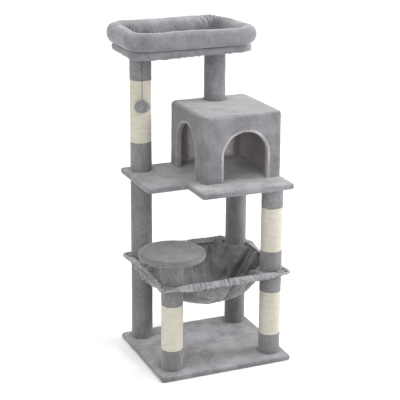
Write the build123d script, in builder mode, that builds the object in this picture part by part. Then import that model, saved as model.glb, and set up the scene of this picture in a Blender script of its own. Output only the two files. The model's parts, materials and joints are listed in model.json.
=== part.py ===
"""A cat tree: plush-covered boards on cardboard posts, with a house, a hammock, a perch and a bed.

The origin is the middle of the base's underside. X runs to the right along the front edge,
Y runs to the back and Z is up. All sizes are in millimetres.
"""

import os
from build123d import *

os.makedirs("parts", exist_ok=True)

# ---------------------------------------------------------------- driving dimensions
# Levels, measured up from the floor
BASE_W, BASE_D = 500, 420
BASE_CORNER_R = 8
LEAST_CORNER_R = 2           # no inner corner is sharper than this
SLAB = 20                    # a board with its plush on both faces
BASE_TOP = SLAB
CLOTH_Z = 336                # underside of the hammock's cloth, where the lower posts end
PERCH_TOP = 457
PLATFORM_TOP = 670
ROOF_TOP = 906
BED_Z = 1100                 # underside of the bed
BED_SLAB = 24
BOLSTER_H = 73

# Plan positions of the posts
LEFT_X, RIGHT_X = -184.5, 196.5
FRONT_Y, BACK_Y = -138, 160
ROOF_POST_X = 103

# Materials
BOARD = 15                   # particle board
PLUSH = 2.5                  # plush glued and stapled to a board
BED_PLUSH = 4.5              # thicker plush under the bed
FIT = 0.1                    # clearance between nested pieces
TUBE_R, TUBE_WALL = 33.5, 4.5
SLEEVE_R = 38.8              # outside of the plush on a post
SISAL_R = 38.3               # outside of the sisal winding
PLUG_H = 15

# Fasteners
BOLT_R, BOLT_L = 4, 28
BOLT_HEAD_R, BOLT_HEAD_H = 8.5, 3
WASHER_R, WASHER_H = 11, 1.5
BORE_R = 4.3                 # clearance hole round a bolt
SINK_R, SINK_DEPTH = 12, 5   # counterbore for a bolt head and its washer
THREAD_GAP = 0.05            # between a shank and the hole that holds it
SCREW_R, SCREW_L = 2, 32
SCREW_HEAD_R, SCREW_HEAD_H = 4, 2.5
SCREW_SINK_R = 4.6
FLOOR_SCREW_SINK, ROOF_SCREW_SINK = 3, 7    # the roof's screws are sunk below its rounded edge

# Middle platform: full depth on the right, with the front left corner left out
PLATFORM_X0, PLATFORM_X1 = -247, 247
PLATFORM_Y0, PLATFORM_Y1 = -210, 210
STEP_X, STEP_Y = -101, -77
PLATFORM_CORNER_R = 10

# House
HOUSE_X0, HOUSE_X1 = -56, 247
HOUSE_Y0, HOUSE_Y1 = -110, 206
HOUSE_CORNER_R = 22
ROOF_EDGE_R = 12
WALL = 12
LINING = 2
ARCH_HALF = 85
FRONT_ARCH_H, LEFT_ARCH_H = 176, 186
FRONT_ARCH_X, LEFT_ARCH_Y = 104, 47
TRIM_W, TRIM_T = 11, 1.5

# Round perch, on the front left post
PERCH_R = 116

# Hammock
HEM_W, HEM_H = 11, 9
CLOTH = 4
TAB_CORNER_R = 22
BOWL_X, BOWL_Y, BOWL_CORNER_R = 196, 162, 140
BOWL_DEPTH = 122
BOWL_CENTRE = (6, 8)
EYELET_INSET = 19            # from each edge of the cloth's corner
EYELET_R, EYELET_BORE_R, EYELET_LIP = 4.5, 2.5, 0.8
# (share of the depth, share of the mouth's size) down the bowl
BOWL_SECTIONS = [(0, 1), (0.3, 0.965), (0.6, 0.875), (0.85, 0.71), (1, 0.45)]

# Bed
BED_X0, BED_X1 = -265, 197
BED_Y0, BED_Y1 = 7, 283
BED_CORNER_R = 62
BOLSTER_OVER = 20            # how far the bolster stands out past its board
BOLSTER_W = 64
BOLSTER_CORNER_R = 80
BOLSTER_ROUND = 29
MAT_H = 7

# Pom-pom and its string
POM_X, POM_Y, POM_Z = -207, 84, 920
POM_R, POM_HALF_H = 30, 24
CORD_R = 1
KNOT_R, KNOT_Z = 2.6, 1086.5
LOOP_Z, LOOP_R, LOOP_WIRE_R = 1094, 3.6, 0.8
STAPLE_WIRE_R, STAPLE_HALF, STAPLE_Z, STAPLE_LEG = 0.6, 5, 1096, 11

# ---------------------------------------------------------------- what follows from them
PLATFORM_Z = PLATFORM_TOP - SLAB
PERCH_Z = PERCH_TOP - SLAB
CLOTH_TOP = CLOTH_Z + CLOTH
HEM_Z = CLOTH_Z + CLOTH / 2 - HEM_H / 2
WALL_TOP = ROOF_TOP - PLUSH - BOARD
WALL_BUILD = PLUSH + WALL + LINING
BED_FLOOR = BED_Z + BED_SLAB
PLUG_R = TUBE_R - TUBE_WALL - FIT

HOUSE_W, HOUSE_D = HOUSE_X1 - HOUSE_X0, HOUSE_Y1 - HOUSE_Y0
HOUSE_MID = ((HOUSE_X0 + HOUSE_X1) / 2, (HOUSE_Y0 + HOUSE_Y1) / 2)
BED_W, BED_D = BED_X1 - BED_X0, BED_Y1 - BED_Y0
BED_MID = ((BED_X0 + BED_X1) / 2, (BED_Y0 + BED_Y1) / 2)

CORNER_POSTS = {
    "back_left": (LEFT_X, BACK_Y),
    "front_left": (LEFT_X, FRONT_Y),
    "front_right": (RIGHT_X, FRONT_Y),
    "back_right": (RIGHT_X, BACK_Y),
}

EYELET_X, EYELET_Y = BASE_W / 2 - EYELET_INSET, BASE_D / 2 - EYELET_INSET
EYELETS = [(side * EYELET_X, way * EYELET_Y) for side in (-1, 1) for way in (-1, 1)]

# Every post: name, x, y, bottom, top and the heights between which it is wound with sisal
POSTS = [
    ("lower_back_left_post", LEFT_X, BACK_Y, BASE_TOP, CLOTH_Z, None),
    ("lower_front_left_post", LEFT_X, FRONT_Y, BASE_TOP, CLOTH_Z, (97, 260)),
    ("lower_front_right_post", RIGHT_X, FRONT_Y, BASE_TOP, CLOTH_Z, (96, 256)),
    ("lower_back_right_post", RIGHT_X, BACK_Y, BASE_TOP, CLOTH_Z, None),
    ("upper_back_left_post", LEFT_X, BACK_Y, CLOTH_TOP, PLATFORM_Z, None),
    ("upper_front_right_post", RIGHT_X, FRONT_Y, CLOTH_TOP, PLATFORM_Z, (413, 571)),
    ("upper_back_right_post", RIGHT_X, BACK_Y, CLOTH_TOP, PLATFORM_Z, None),
    ("perch_post", LEFT_X, FRONT_Y, CLOTH_TOP, PERCH_Z, None),
    ("bed_left_post", LEFT_X, BACK_Y, PLATFORM_TOP, BED_Z, (777, 1000)),
    ("bed_right_post", ROOF_POST_X, BACK_Y, ROOF_TOP, BED_Z, None),
]

# Every bolt: x, y, the face of the board that its head sinks into, and the way that it points
UP, DOWN = 1, -1
BASE_BOLTS = [(x, y, PLUSH, UP) for x, y in CORNER_POSTS.values()]
PERCH_BOLTS = [(LEFT_X, FRONT_Y, PERCH_TOP - PLUSH, DOWN)]
PLATFORM_BOLTS = [(RIGHT_X, y, PLATFORM_TOP - PLUSH, DOWN) for y in (FRONT_Y, BACK_Y)]
ROOF_BOLTS = [(ROOF_POST_X, BACK_Y, WALL_TOP, UP)]
BED_BOLTS = [(x, BACK_Y, BED_FLOOR - BED_PLUSH, DOWN) for x in (LEFT_X, ROOF_POST_X)]
BOLTS = BASE_BOLTS + PERCH_BOLTS + PLATFORM_BOLTS + ROOF_BOLTS + BED_BOLTS

# Screws through the middle of the house's walls, into them from below and from above
WALL_MID = PLUSH + WALL / 2
SCREWS = [(x, HOUSE_Y1 - WALL_MID) for x in (0, 193)]
SCREWS += [(x, HOUSE_Y0 + WALL_MID) for x in (-12, 215)]
SCREWS += [(HOUSE_X1 - WALL_MID, y) for y in (-20, 116)]
SCREWS += [(HOUSE_X0 + WALL_MID, y) for y in (-60, 164)]


def save(piece, name):
    """Label a finished piece and write it."""
    piece.part.label = name
    export_step(piece.part, f"parts/{name}.step")


# ---------------------------------------------------------------- outlines
def draw_rectangle(x0, x1, y0, y1, corner_r):
    """A rounded rectangle between two corners, in the sketch that is open."""
    with Locations(((x0 + x1) / 2, (y0 + y1) / 2)):
        RectangleRounded(x1 - x0, y1 - y0, max(corner_r, LEAST_CORNER_R))


def draw_base(inset):
    half_w, half_d = BASE_W / 2 - inset, BASE_D / 2 - inset
    draw_rectangle(-half_w, half_w, -half_d, half_d, BASE_CORNER_R - inset)


def draw_perch(inset):
    with Locations((LEFT_X, FRONT_Y)):
        Circle(PERCH_R - inset)


def draw_platform(inset):
    """The platform's outline: a rectangle with the front left corner left out."""
    right, back = PLATFORM_X1 - inset, PLATFORM_Y1 - inset
    corner_r = PLATFORM_CORNER_R - inset
    draw_rectangle(PLATFORM_X0 + inset, right, STEP_Y + inset, back, corner_r)
    draw_rectangle(STEP_X + inset, right, PLATFORM_Y0 + inset, back, corner_r)


def draw_bed(inset):
    corner_r = BED_CORNER_R - inset
    draw_rectangle(BED_X0 + inset, BED_X1 - inset, BED_Y0 + inset, BED_Y1 - inset, corner_r)


def draw_house(inset):
    r = HOUSE_CORNER_R - inset
    draw_rectangle(HOUSE_X0 + inset, HOUSE_X1 - inset, HOUSE_Y0 + inset, HOUSE_Y1 - inset, r)


def arch(height, grow=0):
    """A doorway standing on the X axis, grown or shrunk: straight sides and a round top."""
    half, spring = ARCH_HALF + grow, height - ARCH_HALF
    with BuildSketch() as shape:
        with BuildLine():
            Polyline((half, spring), (half, 0), (-half, 0), (-half, spring))
            ThreePointArc((-half, spring), (0, spring + half), (half, spring))
        make_face()
    return shape.sketch


FRONT_ARCH = Plane((FRONT_ARCH_X, HOUSE_Y0, PLATFORM_TOP), x_dir=(1, 0, 0), z_dir=(0, -1, 0))
LEFT_ARCH = Plane((HOUSE_X0, LEFT_ARCH_Y, PLATFORM_TOP), x_dir=(0, -1, 0), z_dir=(-1, 0, 0))


# ---------------------------------------------------------------- holes
def drill(points, bottom, height, radius):
    """Cut round holes through the open part, from one height up."""
    with BuildSketch(Plane.XY.offset(bottom)) as holes:
        with Locations(*points):
            Circle(radius)
    extrude(holes.sketch, amount=height, mode=Mode.SUBTRACT)


def sink_bolts(bolts):
    """Cut the clearance hole and the counterbore of each bolt into the open board."""
    for x, y, face, way in bolts:
        with Locations(Plane((x, y, face), z_dir=(0, 0, -way))):
            CounterBoreHole(BORE_R, SINK_R, SINK_DEPTH, BOARD)


def sink_screws(face, way, sink):
    """Cut the counterbore and the hole of each house screw into the open board."""
    for x, y in SCREWS:
        with Locations(Plane((x, y, face), z_dir=(0, 0, -way))):
            CounterBoreHole(SCREW_R + THREAD_GAP, SCREW_SINK_R, sink, BOARD)


# ---------------------------------------------------------------- boards and their covers
def wrapped_board(draw, bottom, slab, plush):
    """Return the board of an outline and the plush wrapped round it, as two open builders."""
    with BuildPart() as board:
        with BuildSketch(Plane.XY.offset(bottom + plush)):
            draw(plush + FIT)
        extrude(amount=slab - 2 * plush)
    with BuildPart() as cover:
        with BuildSketch(Plane.XY.offset(bottom)):
            draw(0)
        extrude(amount=slab)
        rims = cover.faces().filter_by(Axis.Z)
        fillet(rims.edges(), plush)
        with BuildSketch(Plane.XY.offset(bottom + plush)):
            draw(plush)
        extrude(amount=slab - 2 * plush, mode=Mode.SUBTRACT)
    return board.part, cover.part


BASE_FOLD = 36               # how far the base's plush is folded in underneath

base_board_blank, base_cover_blank = wrapped_board(draw_base, 0, SLAB, PLUSH)
with BuildPart() as base_board:
    add(base_board_blank)
    sink_bolts(BASE_BOLTS)
save(base_board, "base_board")

with BuildPart() as base_cover:
    add(base_cover_blank)
    with BuildSketch():
        draw_base(BASE_FOLD)
    extrude(amount=PLUSH, mode=Mode.SUBTRACT)
    drill(CORNER_POSTS.values(), 0, SLAB, BORE_R)
save(base_cover, "base_cover")

with BuildPart() as base_lining:
    with BuildSketch():
        draw_base(BASE_FOLD + FIT)
        with Locations(*CORNER_POSTS.values()):
            Circle(SINK_R + 2, mode=Mode.SUBTRACT)
    extrude(amount=PLUSH)
save(base_lining, "base_lining")

perch_board_blank, perch_cover_blank = wrapped_board(draw_perch, PERCH_Z, SLAB, PLUSH)
with BuildPart() as perch_board:
    add(perch_board_blank)
    sink_bolts(PERCH_BOLTS)
save(perch_board, "perch_board")

with BuildPart() as perch_cover:
    add(perch_cover_blank)
    drill([(LEFT_X, FRONT_Y)], PERCH_Z, PLUSH, BORE_R)
save(perch_cover, "perch_cover")

platform_board_blank, platform_cover_blank = wrapped_board(draw_platform, PLATFORM_Z, SLAB, PLUSH)
with BuildPart() as platform_board:
    add(platform_board_blank)
    sink_bolts(PLATFORM_BOLTS)
    drill([(LEFT_X, BACK_Y)], PLATFORM_Z, SLAB, BORE_R)
    sink_screws(PLATFORM_Z + PLUSH, UP, FLOOR_SCREW_SINK)
save(platform_board, "platform_board")

with BuildPart() as platform_cover:
    add(platform_cover_blank)
    drill([(RIGHT_X, FRONT_Y), (RIGHT_X, BACK_Y)], PLATFORM_Z, PLUSH, BORE_R)
    drill([(LEFT_X, BACK_Y)], PLATFORM_Z, SLAB, BORE_R)
    drill(SCREWS, PLATFORM_TOP - PLUSH, PLUSH, SCREW_R + THREAD_GAP)
save(platform_cover, "platform_cover")

bed_board_blank, bed_cover_blank = wrapped_board(draw_bed, BED_Z, BED_SLAB, BED_PLUSH)
with BuildPart() as bed_board:
    add(bed_board_blank)
    sink_bolts(BED_BOLTS)
save(bed_board, "bed_board")

with BuildPart() as bed_cover:
    add(bed_cover_blank)
    drill([(LEFT_X, BACK_Y), (ROOF_POST_X, BACK_Y)], BED_Z, BED_PLUSH, BORE_R)
save(bed_cover, "bed_cover")

# ---------------------------------------------------------------- posts
for name, x, y, bottom, top, sisal in POSTS:
    with BuildPart() as tube:
        with BuildSketch(Plane((x, y, bottom))):
            Circle(TUBE_R)
            Circle(TUBE_R - TUBE_WALL, mode=Mode.SUBTRACT)
        extrude(amount=top - bottom)
    save(tube, f"{name}_tube")

    sleeve_spans = [(bottom, sisal[0]), (sisal[1], top)] if sisal else [(bottom, top)]
    with BuildPart() as sleeve:
        for low, high in sleeve_spans:
            with BuildSketch(Plane((x, y, low))):
                Circle(SLEEVE_R)
                Circle(TUBE_R + FIT, mode=Mode.SUBTRACT)
            extrude(amount=high - low)
    save(sleeve, f"{name}_plush")

    if sisal:
        with BuildPart() as winding:
            with BuildSketch(Plane((x, y, sisal[0]))):
                Circle(SISAL_R)
                Circle(TUBE_R + FIT, mode=Mode.SUBTRACT)
            extrude(amount=sisal[1] - sisal[0])
        save(winding, f"{name}_sisal")

with BuildPart() as post_end_plugs:
    for name, x, y, bottom, top, sisal in POSTS:
        for low in (bottom, top - PLUG_H):
            with BuildSketch(Plane((x, y, low))):
                Circle(PLUG_R)
                Circle(BOLT_R + THREAD_GAP, mode=Mode.SUBTRACT)
            extrude(amount=PLUG_H)
save(post_end_plugs, "post_end_plugs")

# ---------------------------------------------------------------- fasteners
with BuildPart() as furniture_bolts:
    for x, y, face, way in BOLTS:
        under_head = face + way * (SINK_DEPTH - WASHER_H)
        with BuildSketch(Plane((x, y, under_head), z_dir=(0, 0, -way))):
            Circle(BOLT_HEAD_R)
        extrude(amount=BOLT_HEAD_H)
        with BuildSketch(Plane((x, y, under_head), z_dir=(0, 0, way))):
            Circle(BOLT_R)
        extrude(amount=BOLT_L)
save(furniture_bolts, "furniture_bolts")

with BuildPart() as bolt_washers:
    for x, y, face, way in BOLTS:
        seat = face + way * SINK_DEPTH
        with BuildSketch(Plane((x, y, seat), z_dir=(0, 0, -way))):
            Circle(WASHER_R)
            Circle(BORE_R, mode=Mode.SUBTRACT)
        extrude(amount=WASHER_H)
save(bolt_washers, "bolt_washers")

STUD_BITE = PLUG_H - 1       # how far a stud goes into each plug


def join_with_stud(x, y, low, high):
    """A threaded stud that joins the post below one height to the post above another."""
    with BuildSketch(Plane((x, y, low - STUD_BITE))) as end:
        Circle(BOLT_R)
    extrude(end.sketch, amount=high - low + 2 * STUD_BITE)


with BuildPart() as hammock_studs:
    for x, y in CORNER_POSTS.values():
        join_with_stud(x, y, CLOTH_Z, CLOTH_TOP)
save(hammock_studs, "hammock_studs")

with BuildPart() as platform_stud:
    join_with_stud(LEFT_X, BACK_Y, PLATFORM_Z, PLATFORM_TOP)
save(platform_stud, "platform_stud")


def drive_screws(face, way, sink):
    """The house screws that sink into one face, as separate solids."""
    for x, y in SCREWS:
        under_head = face + way * sink
        with BuildSketch(Plane((x, y, under_head), z_dir=(0, 0, -way))) as head:
            Circle(SCREW_HEAD_R)
        extrude(head.sketch, amount=SCREW_HEAD_H)
        with BuildSketch(Plane((x, y, under_head), z_dir=(0, 0, way))) as shank:
            Circle(SCREW_R)
        extrude(shank.sketch, amount=SCREW_L)


with BuildPart() as house_floor_screws:
    drive_screws(PLATFORM_Z + PLUSH, UP, FLOOR_SCREW_SINK)
save(house_floor_screws, "house_floor_screws")

with BuildPart() as house_roof_screws:
    drive_screws(ROOF_TOP - PLUSH, DOWN, ROOF_SCREW_SINK)
save(house_roof_screws, "house_roof_screws")

# ---------------------------------------------------------------- house
FLOOR = Plane.XY.offset(PLATFORM_TOP)
WALL_H = WALL_TOP - PLATFORM_TOP


def cut_arches():
    """Cut both doorways through the open part."""
    for plane, height in ((FRONT_ARCH, FRONT_ARCH_H), (LEFT_ARCH, LEFT_ARCH_H)):
        with BuildSketch(plane) as doorway:
            add(arch(height))
        extrude(doorway.sketch, amount=2 * WALL_BUILD, both=True, mode=Mode.SUBTRACT)


def wall_panel(name, x0, x1, y0, y1):
    """The stretch of the ring of walls that lies between two corners, with its doorway."""
    inset = PLUSH + FIT
    inner = PLUSH + WALL
    with BuildPart() as panel:
        with BuildSketch(FLOOR):
            draw_house(inset)
            with Locations(HOUSE_MID):
                Rectangle(HOUSE_W - 2 * inner, HOUSE_D - 2 * inner, mode=Mode.SUBTRACT)
            with Locations(((x0 + x1) / 2, (y0 + y1) / 2)):
                Rectangle(x1 - x0, y1 - y0, mode=Mode.INTERSECT)
        extrude(amount=WALL_H)
        cut_arches()
        drill(SCREWS, PLATFORM_TOP, WALL_H, SCREW_R + THREAD_GAP)
    save(panel, name)


FRONT_INSIDE = HOUSE_Y0 + PLUSH + WALL
BACK_INSIDE = HOUSE_Y1 - PLUSH - WALL
wall_panel("house_front_panel", HOUSE_X0, HOUSE_X1, HOUSE_Y0, FRONT_INSIDE)
wall_panel("house_back_panel", HOUSE_X0, HOUSE_X1, BACK_INSIDE, HOUSE_Y1)
wall_panel("house_left_panel", HOUSE_X0, HOUSE_MID[0], FRONT_INSIDE, BACK_INSIDE)
wall_panel("house_right_panel", HOUSE_MID[0], HOUSE_X1, FRONT_INSIDE, BACK_INSIDE)

with BuildPart() as house_wall_cover:
    with BuildSketch(FLOOR):
        draw_house(0)
        with Locations(HOUSE_MID):
            inside_w, inside_d = HOUSE_W - 2 * PLUSH, HOUSE_D - 2 * PLUSH
            RectangleRounded(inside_w, inside_d, HOUSE_CORNER_R - PLUSH, mode=Mode.SUBTRACT)
    extrude(amount=WALL_H)
    cut_arches()
save(house_wall_cover, "house_wall_cover")

with BuildPart() as house_lining:
    outside = PLUSH + WALL + FIT
    inside = outside + LINING
    with BuildSketch(FLOOR):
        with Locations(HOUSE_MID):
            Rectangle(HOUSE_W - 2 * outside, HOUSE_D - 2 * outside)
    extrude(amount=WALL_H)
    with BuildSketch(FLOOR):
        with Locations(HOUSE_MID):
            Rectangle(HOUSE_W - 2 * inside, HOUSE_D - 2 * inside)
    extrude(amount=WALL_H - LINING, mode=Mode.SUBTRACT)
    cut_arches()
    drill([(ROOF_POST_X, BACK_Y)], WALL_TOP - LINING, LINING, SINK_R)
save(house_lining, "house_lining")


def roof_block(inset, height, edge_r):
    """A slab of the house's outline with a rounded upper edge, from the top of the walls."""
    with BuildPart() as block:
        with BuildSketch(Plane.XY.offset(WALL_TOP)):
            draw_house(inset)
        extrude(amount=height)
        fillet(block.faces().sort_by(Axis.Z)[-1].edges(), edge_r)
    return block.part


with BuildPart() as house_roof_panel:
    add(roof_block(PLUSH + FIT, BOARD, ROOF_EDGE_R - PLUSH))
    sink_bolts(ROOF_BOLTS)
    sink_screws(ROOF_TOP - PLUSH, DOWN, ROOF_SCREW_SINK)
save(house_roof_panel, "house_roof_panel")

with BuildPart() as house_roof_cover:
    add(roof_block(0, BOARD + PLUSH, ROOF_EDGE_R))
    add(roof_block(PLUSH, BOARD, ROOF_EDGE_R - PLUSH), mode=Mode.SUBTRACT)
    drill([(ROOF_POST_X, BACK_Y)], ROOF_TOP - PLUSH, PLUSH, BORE_R)
save(house_roof_cover, "house_roof_cover")


def arch_trim(name, plane, height):
    """A binding folded over the edge of a doorway, U-shaped in section and open at the floor."""
    with BuildPart() as trim:
        with BuildSketch(plane.offset(TRIM_T)):
            add(arch(height, TRIM_W))
            add(arch(height, -TRIM_T), mode=Mode.SUBTRACT)
        extrude(amount=-(WALL_BUILD + 2 * TRIM_T + FIT))
        with BuildSketch(plane):
            add(arch(height, TRIM_W))
            add(arch(height, -FIT), mode=Mode.SUBTRACT)
        extrude(amount=-(WALL_BUILD + FIT), mode=Mode.SUBTRACT)
    save(trim, name)


arch_trim("front_arch_trim", FRONT_ARCH, FRONT_ARCH_H)
arch_trim("left_arch_trim", LEFT_ARCH, LEFT_ARCH_H)

# ---------------------------------------------------------------- hammock
def bowl_block(shrink, depth):
    """The bag's shape down from the cloth: rounded rectangles that close in with depth."""
    with BuildPart() as block:
        for down, share in BOWL_SECTIONS:
            with BuildSketch(Plane((*BOWL_CENTRE, CLOTH_Z - down * depth))):
                half_x, half_y = BOWL_X * share - shrink, BOWL_Y * share - shrink
                RectangleRounded(2 * half_x, 2 * half_y, BOWL_CORNER_R * share - shrink)
        loft()
    return block.part


with BuildPart() as hammock_cloth:
    inset = HEM_W + FIT
    with BuildSketch(Plane.XY.offset(CLOTH_Z)):
        cloth_w, cloth_d = BASE_W - 2 * inset, BASE_D - 2 * inset
        RectangleRounded(cloth_w, cloth_d, TAB_CORNER_R - HEM_W)
    extrude(amount=CLOTH)
    add(bowl_block(0, BOWL_DEPTH))
    add(bowl_block(CLOTH, BOWL_DEPTH - CLOTH), mode=Mode.SUBTRACT)
    with BuildSketch(Plane((*BOWL_CENTRE, CLOTH_Z))):
        RectangleRounded(2 * (BOWL_X - CLOTH), 2 * (BOWL_Y - CLOTH), BOWL_CORNER_R - CLOTH)
    extrude(amount=CLOTH, mode=Mode.SUBTRACT)
    drill(CORNER_POSTS.values(), CLOTH_Z, CLOTH, BORE_R)
    drill(EYELETS, CLOTH_Z, CLOTH, EYELET_BORE_R + EYELET_LIP)
save(hammock_cloth, "hammock_cloth")

with BuildPart() as hammock_hem:
    with BuildSketch(Plane.XY.offset(HEM_Z)):
        RectangleRounded(BASE_W, BASE_D, TAB_CORNER_R)
        inside_w, inside_d = BASE_W - 2 * HEM_W, BASE_D - 2 * HEM_W
        RectangleRounded(inside_w, inside_d, TAB_CORNER_R - HEM_W, mode=Mode.SUBTRACT)
    extrude(amount=HEM_H)
save(hammock_hem, "hammock_hem")

with BuildPart() as hammock_eyelets:
    for x, y in EYELETS:
        with BuildSketch(Plane((x, y, CLOTH_Z - EYELET_LIP))):
            Circle(EYELET_BORE_R + EYELET_LIP - THREAD_GAP)
        extrude(amount=CLOTH + 2 * EYELET_LIP)
        for low in (CLOTH_Z - EYELET_LIP, CLOTH_Z + CLOTH):
            with BuildSketch(Plane((x, y, low))):
                Circle(EYELET_R)
            extrude(amount=EYELET_LIP)
        with BuildSketch(Plane((x, y, CLOTH_Z - EYELET_LIP))):
            Circle(EYELET_BORE_R)
        extrude(amount=CLOTH + 2 * EYELET_LIP, mode=Mode.SUBTRACT)
save(hammock_eyelets, "hammock_eyelets")

# ---------------------------------------------------------------- bed
with BuildPart() as bed_bolster:
    outer_w, outer_d = BED_W + 2 * BOLSTER_OVER, BED_D + 2 * BOLSTER_OVER
    with BuildSketch(Plane((*BED_MID, BED_FLOOR))):
        RectangleRounded(outer_w, outer_d, BOLSTER_CORNER_R)
        well_w, well_d = outer_w - 2 * BOLSTER_W, outer_d - 2 * BOLSTER_W
        RectangleRounded(well_w, well_d, BOLSTER_CORNER_R / 2, mode=Mode.SUBTRACT)
    extrude(amount=BOLSTER_H)
    fillet(bed_bolster.faces().filter_by(Axis.Z).edges(), BOLSTER_ROUND)
save(bed_bolster, "bed_bolster")

with BuildPart() as bed_mat:
    with BuildSketch(Plane((*BED_MID, BED_FLOOR))):
        RectangleRounded(well_w - 1, well_d - 1, BOLSTER_CORNER_R / 2)
    extrude(amount=MAT_H)
save(bed_mat, "bed_mat")

# ---------------------------------------------------------------- pom-pom
with BuildPart() as pom_staple:
    with BuildLine():
        crown_end = STAPLE_HALF
        FilletPolyline(
            (POM_X - crown_end, POM_Y, STAPLE_Z + STAPLE_LEG),
            (POM_X - crown_end, POM_Y, STAPLE_Z),
            (POM_X + crown_end, POM_Y, STAPLE_Z),
            (POM_X + crown_end, POM_Y, STAPLE_Z + STAPLE_LEG),
            radius=1.5,
        )
    with BuildSketch(Plane((POM_X - crown_end, POM_Y, STAPLE_Z + STAPLE_LEG), z_dir=(0, 0, -1))):
        Circle(STAPLE_WIRE_R)
    sweep()
save(pom_staple, "pom_staple")

with BuildPart() as pom_loop:
    with BuildSketch(Plane((POM_X, POM_Y, LOOP_Z), x_dir=(0, 1, 0), z_dir=(0, 0, 1))):
        with Locations((LOOP_R, 0)):
            Circle(LOOP_WIRE_R)
    revolve(axis=Axis((POM_X, POM_Y, LOOP_Z), (1, 0, 0)))
save(pom_loop, "pom_loop")

POM_CORD = [(POM_X, POM_Y, KNOT_Z), (POM_X, POM_Y, POM_Z)]
CORD_BORE_R = CORD_R + FIT

with BuildPart() as pom_knot:
    with Locations((POM_X, POM_Y, KNOT_Z)):
        Sphere(KNOT_R)
    drill([(POM_X, POM_Y)], KNOT_Z - KNOT_R, KNOT_R, CORD_BORE_R)
save(pom_knot, "pom_knot")

with BuildPart() as pom_cord:
    with BuildLine():
        Polyline(*POM_CORD)
    with BuildSketch(Plane(POM_CORD[0], z_dir=(0, 0, -1))):
        Circle(CORD_R)
    sweep()
save(pom_cord, "pom_cord")
print("pom cord length", KNOT_Z - POM_Z)

with BuildPart() as pom_pom:
    with BuildSketch(Plane((POM_X, POM_Y, POM_Z), x_dir=(1, 0, 0), z_dir=(0, -1, 0))):
        Ellipse(POM_R, POM_HALF_H)
        with Locations((-POM_R, 0)):
            Rectangle(2 * POM_R, 4 * POM_HALF_H, mode=Mode.SUBTRACT)
    revolve(axis=Axis((POM_X, POM_Y, POM_Z), (0, 0, 1)))
    drill([(POM_X, POM_Y)], POM_Z, POM_HALF_H, CORD_BORE_R)
save(pom_pom, "pom_pom")
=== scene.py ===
"""The looks of the cat tree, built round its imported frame. Lengths are in metres, +Z is up."""

import json
import math

import bmesh
import bpy
import numpy as np
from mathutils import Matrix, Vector


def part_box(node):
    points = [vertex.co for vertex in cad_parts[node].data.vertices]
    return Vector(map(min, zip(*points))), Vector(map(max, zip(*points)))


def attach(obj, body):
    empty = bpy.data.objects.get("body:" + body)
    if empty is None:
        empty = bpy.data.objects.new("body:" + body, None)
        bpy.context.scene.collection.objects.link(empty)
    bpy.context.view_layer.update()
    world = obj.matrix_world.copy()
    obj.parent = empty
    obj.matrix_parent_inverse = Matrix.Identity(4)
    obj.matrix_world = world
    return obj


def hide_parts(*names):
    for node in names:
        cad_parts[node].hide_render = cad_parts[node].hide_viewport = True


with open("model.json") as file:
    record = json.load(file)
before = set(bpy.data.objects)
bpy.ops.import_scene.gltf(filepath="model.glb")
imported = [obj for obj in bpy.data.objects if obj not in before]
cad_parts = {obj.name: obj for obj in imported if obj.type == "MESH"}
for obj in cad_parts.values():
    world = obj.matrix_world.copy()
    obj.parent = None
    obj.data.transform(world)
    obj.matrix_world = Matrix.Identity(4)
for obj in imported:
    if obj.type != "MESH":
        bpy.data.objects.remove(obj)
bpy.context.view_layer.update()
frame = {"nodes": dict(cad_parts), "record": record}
MM = 0.001

# ---------------------------------------------------------------- places, from the frame
def box(node):
    """The lowest and the highest corner of a node."""
    return [np.array(corner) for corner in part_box(node)]


def radius_of(node):
    low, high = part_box(node)
    return (high[0] - low[0]) / 2


BASE_LOW, BASE_HIGH = box("base_cover")
PLATFORM_LOW, PLATFORM_HIGH = box("platform_cover")
PERCH_LOW, PERCH_HIGH = box("perch_cover")
BED_LOW, BED_HIGH = box("bed_cover")
BOLSTER_LOW, BOLSTER_HIGH = box("bed_bolster")
MAT_LOW, MAT_HIGH = box("bed_mat")
HOUSE_LOW, HOUSE_HIGH = box("house_wall_cover")
ROOF_TOP = box("house_roof_cover")[1][2]
HEM_LOW, HEM_HIGH = box("hammock_hem")
POM_LOW, POM_HIGH = box("pom_pom")
SLEEVE_R, TUBE_R = radius_of("perch_post_plush"), radius_of("perch_post_tube")
POSTS = [name[: -len("_plush")] for name in frame["nodes"] if name.endswith("_post_plush")]


def post_axis(post):
    """The x, y, bottom and top of a post."""
    low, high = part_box(f"{post}_tube")
    return (low[0] + high[0]) / 2, (low[1] + high[1]) / 2, low[2], high[2]


CORNERS = [post_axis(p)[:2] for p in POSTS if p.startswith("lower")]


def place(name, data):
    """A new object in the scene."""
    thing = bpy.data.objects.new(name, data)
    bpy.context.collection.objects.link(thing)
    return thing


# ---------------------------------------------------------------- camera and light
CAMERA_AT = Vector((-1.6061, -3.649, 1.8654))
CAMERA_YAW, CAMERA_PITCH, CAMERA_ROLL = -22.447, 16.333, 0.097
CAMERA_LENS = 105.47         # for a sensor 36 mm wide
CAMERA_SHIFT = (0.05, -0.08)


def make_camera():
    data = bpy.data.cameras.new("camera")
    data.sensor_width = 36
    data.lens = CAMERA_LENS
    data.shift_x, data.shift_y = CAMERA_SHIFT
    data.clip_end = 100
    camera = place("camera", data)
    camera.location = CAMERA_AT
    camera.rotation_euler = [math.radians(a) for a in (90 - CAMERA_PITCH, 0, CAMERA_YAW)]
    camera.rotation_euler.rotate_axis("Z", math.radians(CAMERA_ROLL))
    bpy.context.scene.camera = camera


def area_light(name, at, target, size, power, spread=180):
    data = bpy.data.lights.new(name, "AREA")
    data.shape = "DISK"
    data.size = size
    data.energy = power
    data.spread = math.radians(spread)
    light = place(name, data)
    light.location = at
    light.rotation_euler = (Vector(target) - Vector(at)).to_track_quat("-Z", "Y").to_euler()


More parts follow.
